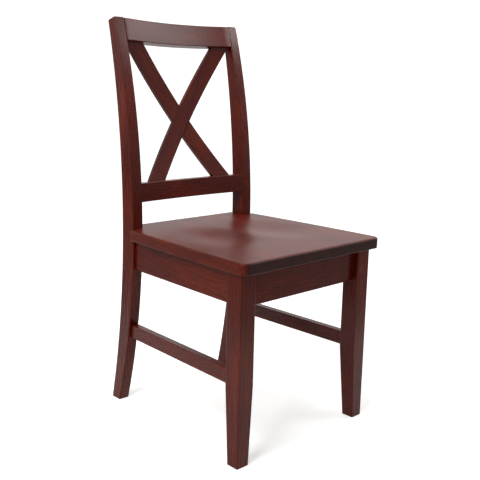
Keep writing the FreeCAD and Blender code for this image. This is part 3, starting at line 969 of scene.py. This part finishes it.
@dataclass
class SeatPanel:
    """The seat, glued from boards, with slightly bowed sides and a hollow for each thigh."""

    top_height: float = 457.0
    thickness: float = 26.0
    front_width: float = 450.0
    rear_width: float = 412.0
    depth: float = 421.0
    side_bow: float = 3.0
    corner_radius: float = 20.0
    # The sides bow from here, behind the rounded front corners, in this many straight parts
    bow_from_front: float = 24.0
    bow_parts: int = 14
    tongue_half_width: float = 167.2
    tongue_back: float = 47.0
    notch_y: float = -0.3
    top_rounding: float = 5.0
    bottom_rounding: float = 2.0
    hollow_depth: float = 6.0
    hollow_spacing: float = 172.0
    hollow_width: float = 215.0
    hollow_length: float = 300.0
    hollow_from_front: float = 235.0
    board_width: float = 77.0
    grid: float = 8.0

    def outline(self) -> BMesh:
        """Set out the seat's outline as one flat face with bowed sides.

        Returns:
            The face, at the underside's height.
        """
        half = self.front_width / 2
        rear = self.rear_width / 2
        right = [
            (half, -self.depth),
            (rear, self.notch_y),
            (self.tongue_half_width, self.notch_y),
            (self.tongue_half_width, self.tongue_back),
        ]
        corners = right + [(-x, y) for x, y in reversed(right)]
        bm = bmesh.new()
        level = self.top_height - self.thickness
        verts = [bm.verts.new((x, y, level)) for x, y in corners]
        bm.faces.new(verts)
        start = -self.depth
        places = even_steps(start + self.bow_from_front, self.notch_y, self.bow_parts)
        slice_across(bm, places, TO_BACK)
        for vert in bm.verts:
            share = (vert.co.y - start) / (self.notch_y - start)
            if abs(vert.co.x) > self.tongue_half_width + SHORT and 0.0 < share < 1.0:
                out = math.copysign(self.side_bow, vert.co.x)
                vert.co.x += out * 4.0 * share * (1.0 - share)
        bmesh.ops.dissolve_faces(bm, faces=bm.faces[:])
        return bm

    def hollow_at(self, x: float, y: float) -> float:
        """Return how deep the seat is hollowed below its flat top at a place on it."""
        from_centre = y + self.depth - self.hollow_from_front
        depth = 0.0
        for centre in (-self.hollow_spacing / 2, self.hollow_spacing / 2):
            radius = math.hypot(
                (x - centre) * 2 / self.hollow_width, from_centre * 2 / self.hollow_length
            )
            depth += self.hollow_depth * math.cos(math.pi / 2 * min(1.0, radius)) ** 2
        return depth

    def build(self, seed: float) -> None:
        """Build the seat and dress it.

        Args:
            seed: Place of its boards in the pattern.
        """
        bm = self.outline()
        raised = bmesh.ops.extrude_face_region(bm, geom=bm.faces[:])
        bmesh.ops.translate(bm, vec=UP * self.thickness, verts=only(BMVert, raised["geom"]))
        bmesh.ops.recalc_face_normals(bm, faces=bm.faces)
        underside = self.top_height - self.thickness
        front_corners = arrises(
            bm, lambda a, b: max(a.y, b.y) < TOUCH - self.depth and abs(a.z - b.z) > SHORT
        )
        round_over(bm, front_corners, self.corner_radius, 10)

        def goes_round(level: float) -> list[BMEdge]:
            """Find the edges round the seat at a height, apart from those between the posts."""
            return arrises(
                bm,
                lambda a, b: max(abs(a.z - level), abs(b.z - level)) < TOUCH
                and min(a.y, b.y) < self.notch_y - 10 * TOUCH,
            )

        round_over(bm, goes_round(self.top_height), self.top_rounding, 6)
        round_over(bm, goes_round(underside), self.bottom_rounding, 3)

        def is_top(face: BMFace) -> bool:
            """Tell whether a face lies in the seat's flat top."""
            return all(abs(vert.co.z - self.top_height) < TOUCH for vert in face.verts)

        half = self.front_width / 2
        columns = even_steps(-half, half, round(2 * half / self.grid))
        row_count = round((self.depth + self.tongue_back) / self.grid)
        rows = even_steps(-self.depth, self.tongue_back, row_count)
        slice_across(bm, columns, TO_RIGHT, is_top)
        slice_across(bm, rows, TO_BACK, is_top)
        for vert in bm.verts:
            if abs(vert.co.z - self.top_height) < TOUCH:
                vert.co.z -= self.hollow_at(vert.co.x, vert.co.y)
        wood = StainedHardwood(
            "stained_hardwood_seat",
            Grain.FRONT_TO_BACK.value,
            seed,
            board_width=self.board_width,
            smoothest=0.32,
        )
        fit_to_chair(bm, "seat", "seat_panel", wood.build())


# The frame under the seat, whose solids have the right shape already


@dataclass
class SeatFrame:
    """The aprons, stretchers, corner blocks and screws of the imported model."""

    nodes: dict[str, Object]
    first_seed: float = 11.3
    seed_step: float = 1.7

    def dress(self) -> None:
        """Give each solid its finish, with the grain along the board it was sawn from."""
        grains = dict.fromkeys(("front_apron", "rear_apron"), Grain.ACROSS_CHAIR)
        for part in ("apron", "stretcher"):
            for side in Side:
                grains[f"side_{part}_{side.value}"] = Grain.FRONT_TO_BACK
        for number, (name, grain) in enumerate(grains.items()):
            seed = self.first_seed + self.seed_step * number
            wood = StainedHardwood(f"stained_hardwood_{name}", grain.value, seed)
            self.paint(name, wood.build())
        blocks = SawnHardwood("sawn_hardwood_blocks", Grain.ACROSS_CORNER.value).build()
        for name in self.nodes:
            if name.startswith("corner_block"):
                self.paint(name, blocks)
        self.paint("seat_screws", ZincPlatedSteel("zinc_plated_screws").build())

    def paint(self, name: str, finish: Material) -> None:
        """Put a finish in every material slot of a solid."""
        for holder in self.nodes[name].material_slots:
            holder.material = finish
        LOG.info("%s keeps its solid and gets %s", name, finish.name)


# Studio


@dataclass(frozen=True)
class Softbox:
    """A soft lamp. Its place, its width and height, and the point it faces are in metres."""

    name: str
    place: tuple[float, float, float]
    size: tuple[float, float]
    watts: float
    target: tuple[float, float, float] = (0.0, 0.0, 0.45)

    def hang(self) -> None:
        """Hang the lamp and aim it."""
        light = bpy.data.lights.new(self.name, "AREA")
        light.shape = "RECTANGLE"
        light.size, light.size_y = self.size
        light.energy = self.watts
        lamp = bpy.data.objects.new(self.name, light)
        lamp.location = self.place
        aim = Vector(self.target) - Vector(self.place)
        lamp.rotation_euler = aim.to_track_quat("-Z", "Y").to_euler()
        bpy.context.scene.collection.objects.link(lamp)


@dataclass
class Studio:
    """A pale floor, soft lamps and a camera at the photograph's angle."""

    # The camera, in millimetres and degrees
    camera_place: tuple[float, float, float] = (-1225.19, -1309.19, 813.68)
    azimuth: float = -43.954
    pitch: float = -10.686
    roll: float = 1.455
    lens: float = 56.16
    sensor: float = 36.0
    shift_x: float = -0.0165
    shift_y: float = -0.0347
    # The floor and the paper sweep, in metres
    floor_radius: float = 12.0
    floor_drop: float = 0.004
    sweep_front: float = 1.3
    sweep_back: float = 2.6
    sweep_near: float = 0.62
    sweep_far: float = 1.75
    sweep_curve: float = 0.5
    sweep_height: float = 2.2
    sweep_steps: int = 12
    floor_lift: float = 0.08
    paper_lift: float = 0.5
    # Strength of the world where it only lights the chair
    fill: float = 0.2

    def set_camera(self) -> None:
        """Stand the camera where the photograph was taken from."""
        az, pitch, roll = (math.radians(v) for v in (self.azimuth, self.pitch, self.roll))
        right = Vector((math.cos(az), math.sin(az), 0.0))
        level = math.cos(pitch)
        forward = Vector((-math.sin(az) * level, math.cos(az) * level, math.sin(pitch)))
        up = right.cross(forward)
        rolled_right = right * math.cos(roll) + up * math.sin(roll)
        rolled_up = up * math.cos(roll) - right * math.sin(roll)
        camera = bpy.data.cameras.new("camera")
        camera.lens = self.lens
        camera.sensor_width = self.sensor
        camera.shift_x = self.shift_x
        camera.shift_y = self.shift_y
        holder = bpy.data.objects.new("camera", camera)
        turn = Matrix((rolled_right, rolled_up, -forward)).transposed()
        place = Vector(self.camera_place) * METRES_PER_MM
        holder.matrix_world = Matrix.Translation(place) @ turn.to_4x4()
        bpy.context.scene.collection.objects.link(holder)
        bpy.context.scene.camera = holder

    def lay_floor(self) -> None:
        """Lay the studio floor, and over it a white paper sweep that fills the picture."""
        bm = bmesh.new()
        bmesh.ops.create_circle(bm, cap_ends=True, radius=self.floor_radius, segments=64)
        bmesh.ops.translate(bm, vec=UP * -self.floor_drop, verts=bm.verts)
        floor = self.matt_paint("pale_floor_paint", "#c8c8c6", self.floor_lift)
        self.set_stage(bm, "studio_floor", floor)

        # The sweep fans out from the chair to the backdrop, and curves up into it
        bm = bmesh.new()
        ends = (-self.sweep_near, self.sweep_near)
        edge = bm.edges.new([bm.verts.new((x, -self.sweep_front, 0.0)) for x in ends])
        run = bmesh.ops.extrude_edge_only(bm, edges=[edge])["geom"]
        back = only(BMVert, run)
        widen = self.sweep_far / self.sweep_near
        bmesh.ops.scale(bm, vec=Vector((widen, 1.0, 1.0)), verts=back)
        bmesh.ops.translate(bm, vec=TO_BACK * (self.sweep_front + self.sweep_back), verts=back)
        curve = bmesh.ops.spin(
            bm,
            geom=only(BMEdge, run),
            cent=(0.0, self.sweep_back, self.sweep_curve),
            axis=TO_RIGHT,
            angle=math.pi / 2,
            steps=self.sweep_steps,
        )
        wall = bmesh.ops.extrude_edge_only(bm, edges=only(BMEdge, curve["geom_last"]))
        top = only(BMVert, wall["geom"])
        bmesh.ops.translate(bm, vec=UP * self.sweep_height, verts=top)
        turn = Matrix.Rotation(math.radians(self.azimuth), 4, "Z")
        bmesh.ops.transform(bm, matrix=turn, verts=bm.verts)
        bmesh.ops.recalc_face_normals(bm, faces=bm.faces)
        paper = self.matt_paint("white_paper", "#ededeb", self.paper_lift)
        self.set_stage(bm, "paper_sweep", paper)

    def set_stage(self, bm: BMesh, name: str, paint: Material) -> None:
        """Add a part of the studio, which is no part of the chair.

        Args:
            bm: The part in metres, which is used up.
            name: Its name.
            paint: Its material.
        """
        mesh = bpy.data.meshes.new(name)
        for face in bm.faces:
            face.smooth = True
        bm.to_mesh(mesh)
        bm.free()
        mesh.materials.append(paint)
        stage = bpy.data.objects.new(name, mesh)
        bpy.context.scene.collection.objects.link(stage)

    def matt_paint(self, name: str, colour: str, lift: float) -> Material:
        """Make a matt studio surface.

        Args:
            name: The material's name.
            colour: Its sRGB colour.
            lift: Light added where the camera, a reflection or glass shows it, to whiten it.

        Returns:
            The material.
        """
        material, add = blank_material(name)
        added = add("ShaderNodeMath", {0: self.seen_directly(add), 1: lift}, operation="MULTIPLY")
        paint = add("ShaderNodeBsdfDiffuse", {"Color": linear(colour), "Roughness": 0.5})
        glow = add("ShaderNodeEmission", {"Strength": added})
        both = add("ShaderNodeAddShader", {0: paint, 1: glow})
        add("ShaderNodeOutputMaterial", {"Surface": both})
        return material

    def seen_directly(self, add: Adder) -> Node:
        """Tell the rays that show the studio itself from those that only light the chair.

        Args:
            add: Adds a node to the material or world.

        Returns:
            1 where the camera, a reflection or glass shows the studio, and otherwise 0.
        """
        path = add("ShaderNodeLightPath").outputs
        rays = {0: path["Is Glossy Ray"], 1: path["Is Transmission Ray"]}
        reflected = add("ShaderNodeMath", rays, operation="MAXIMUM")
        seen = {0: path["Is Camera Ray"], 1: reflected}
        return add("ShaderNodeMath", seen, operation="MAXIMUM")

    def set_light(self) -> None:
        """Light the chair from the left, from above and from the right front, and the paper."""
        above_seat, low_backdrop = (0.0, 0.2, 0.9), (1.9, 2.0, 0.3)
        for lamp in (
            Softbox("softbox_left", (-2.3, -0.5, 2.3), size=(1.4, 1.4), watts=66.0),
            Softbox("softbox_above", (0.2, 0.4, 2.8), size=(1.6, 1.6), watts=25.0),
            Softbox("softbox_right", (2.3, -1.6, 2.55), (1.4, 0.6), 29.0, above_seat),
            Softbox("backdrop_lamp", (1.2, 1.2, 3.0), (1.5, 0.6), 14.0, low_backdrop),
        ):
            lamp.hang()
        world = bpy.data.worlds.new("studio")
        bpy.context.scene.world = world
        world.use_nodes = True
        world.node_tree.nodes.clear()
        add = partial(add_node, world.node_tree)
        seen = self.seen_directly(add)
        strength = add("ShaderNodeMapRange", {"Value": seen, "To Min": self.fill})
        sky = add("ShaderNodeBackground", {"Color": linear("#ffffff"), "Strength": strength})
        add("ShaderNodeOutputWorld", {"Surface": sky})

    def build(self) -> None:
        """Set the camera, floor, lamps and picture settings."""
        self.set_camera()
        self.lay_floor()
        self.set_light()
        bpy.context.scene.view_settings.view_transform = "Standard"


def main() -> None:
    """Load the frame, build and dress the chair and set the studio."""
    logging.basicConfig(level=logging.INFO, format="%(name)s: %(message)s")
    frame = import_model()

    Studio().build()
    posts = BackPosts()
    posts.build(Side.LEFT, seed=1.0)
    posts.build(Side.RIGHT, seed=2.3)
    slats = CrossSlats(posts)
    BackRail(
        name="crest",
        node="crest_rail",
        frame=posts.crest_frame(),
        height=posts.crest_height,
        thickness=24.0,
        bow=12.5,
        setback=0.0,
        top_rounding=3.0,
        seed=3.7,
    ).build()
    BackRail(
        name="lower_rail",
        node="lower_back_rail",
        frame=slats.lower_rail_frame(),
        height=slats.lower_rail_height,
        thickness=26.0,
        bow=9.0,
        setback=2.0,
        top_rounding=1.5,
        seed=5.1,
    ).build()
    slats.build(Run.RISING, seed=6.4)
    slats.build(Run.FALLING, seed=7.9)
    legs = FrontLegs()
    legs.build(Side.LEFT, seed=8.6)
    legs.build(Side.RIGHT, seed=9.2)
    SeatPanel().build(seed=10.4)
    SeatFrame(frame["nodes"]).dress()


if __name__ == "__main__":
    main()
